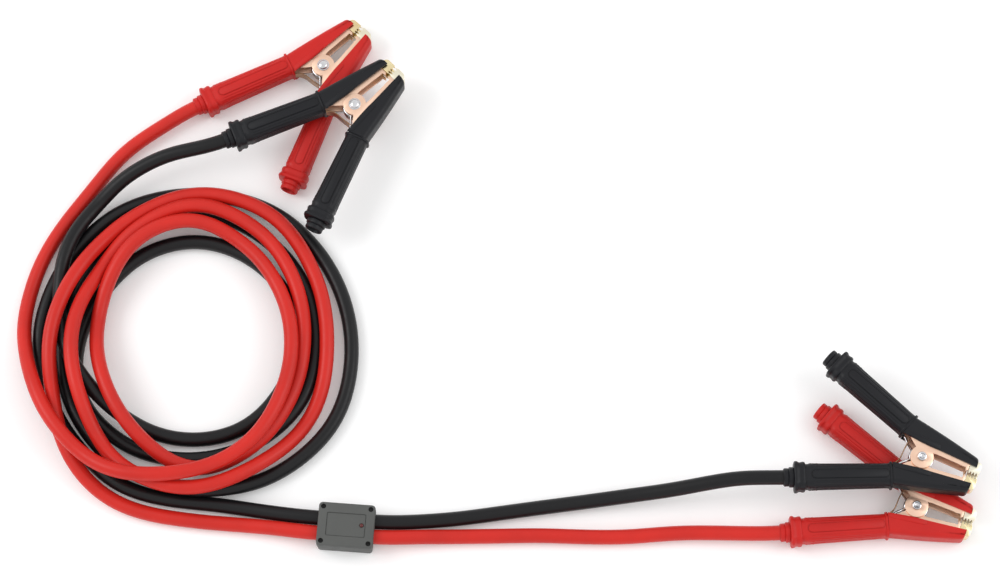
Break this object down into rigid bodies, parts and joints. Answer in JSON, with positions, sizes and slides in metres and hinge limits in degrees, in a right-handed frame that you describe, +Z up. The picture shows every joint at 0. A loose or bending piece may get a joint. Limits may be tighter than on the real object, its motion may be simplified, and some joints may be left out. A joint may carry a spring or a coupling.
{
  "type": "car jumper cable set",
  "caption": "Red and black jumper cables lying in a loose coil, with sprung copper-jawed clamps in moulded sleeves at their ends and a small surge box on the pair.",
  "frame": {"origin": "middle of the surge box's foot, on the floor that the set lies on", "axes": "+X towards the far pair of clamps, along the straight run of the cables; +Z up"},
  "size_m": [0.9483, 0.553, 0.0527],
  "materials": {
    "red_sleeve": "satin moulded",
    "black_sleeve": "satin moulded",
    "red_cable": "satin extruded",
    "black_cable": "satin extruded",
    "copper_sheet": "copper plated",
    "brass_contact": "polished",
    "steel": "plated",
    "grey_plastic": "satin moulded",
    "black_screw": "black oxide",
    "lens": "glossy"
  },
  "bodies": {
    "root": {"red_left_cable_jaw": "copper_sheet", "red_left_cable_tip": "brass_contact", "red_left_cable_sleeve": "red_sleeve", "red_left_rivet": "steel", "red_left_spring": "steel", "red_left_strap": "copper_sheet", "black_left_cable_jaw": "copper_sheet", "black_left_cable_tip": "brass_contact", "black_left_cable_sleeve": "black_sleeve", "black_left_rivet": "steel", "black_left_spring": "steel", "black_left_strap": "copper_sheet", "red_right_cable_jaw": "copper_sheet", "red_right_cable_tip": "brass_contact", "red_right_cable_sleeve": "red_sleeve", "red_right_rivet": "steel", "red_right_spring": "steel", "red_right_strap": "copper_sheet", "black_right_cable_jaw": "copper_sheet", "black_right_cable_tip": "brass_contact", "black_right_cable_sleeve": "black_sleeve", "black_right_rivet": "steel", "black_right_spring": "steel", "black_right_strap": "copper_sheet", "box_base": "grey_plastic", "box_lid": "grey_plastic", "box_screw_1": "black_screw", "box_screw_2": "black_screw", "box_screw_3": "black_screw", "box_screw_4": "black_screw", "box_light": "lens", "red_cable_tail": "red_cable", "red_cable_coil": "red_cable", "red_cable_lead": "red_cable", "black_cable_tail": "black_cable", "black_cable_coil": "black_cable", "black_cable_lead": "black_cable"},
    "red_left_free_half": {"red_left_free_jaw": "copper_sheet", "red_left_free_tip": "brass_contact", "red_left_free_sleeve": "red_sleeve"},
    "black_left_free_half": {"black_left_free_jaw": "copper_sheet", "black_left_free_tip": "brass_contact", "black_left_free_sleeve": "black_sleeve"},
    "red_right_free_half": {"red_right_free_jaw": "copper_sheet", "red_right_free_tip": "brass_contact", "red_right_free_sleeve": "red_sleeve"},
    "black_right_free_half": {"black_right_free_jaw": "copper_sheet", "black_right_free_tip": "brass_contact", "black_right_free_sleeve": "black_sleeve"}
  },
  "joints": [
    {"name": "red_left_squeeze", "type": "hinge", "parent": "root", "child": "red_left_free_half", "pos_m": [-0.0291, 0.4778, 0.013], "axis": [0, 0, -1], "range_deg": [0, 40], "stiffness_Nm_per_rad": 2, "springref_deg": -22.92},
    {"name": "black_left_squeeze", "type": "hinge", "parent": "root", "child": "black_left_free_half", "pos_m": [0.0044, 0.4262, 0.0393], "axis": [0, 0, -1], "range_deg": [0, 40], "stiffness_Nm_per_rad": 2, "springref_deg": -22.92},
    {"name": "red_right_squeeze", "type": "hinge", "parent": "root", "child": "red_right_free_half", "pos_m": [0.556, 0.0201, 0.013], "axis": [0, 0, 1], "range_deg": [0, 40], "stiffness_Nm_per_rad": 2, "springref_deg": -22.92},
    {"name": "black_right_squeeze", "type": "hinge", "parent": "root", "child": "black_right_free_half", "pos_m": [0.5596, 0.0627, 0.0393], "axis": [0, 0, 1], "range_deg": [0, 40], "stiffness_Nm_per_rad": 2, "springref_deg": -22.92}
  ]
}
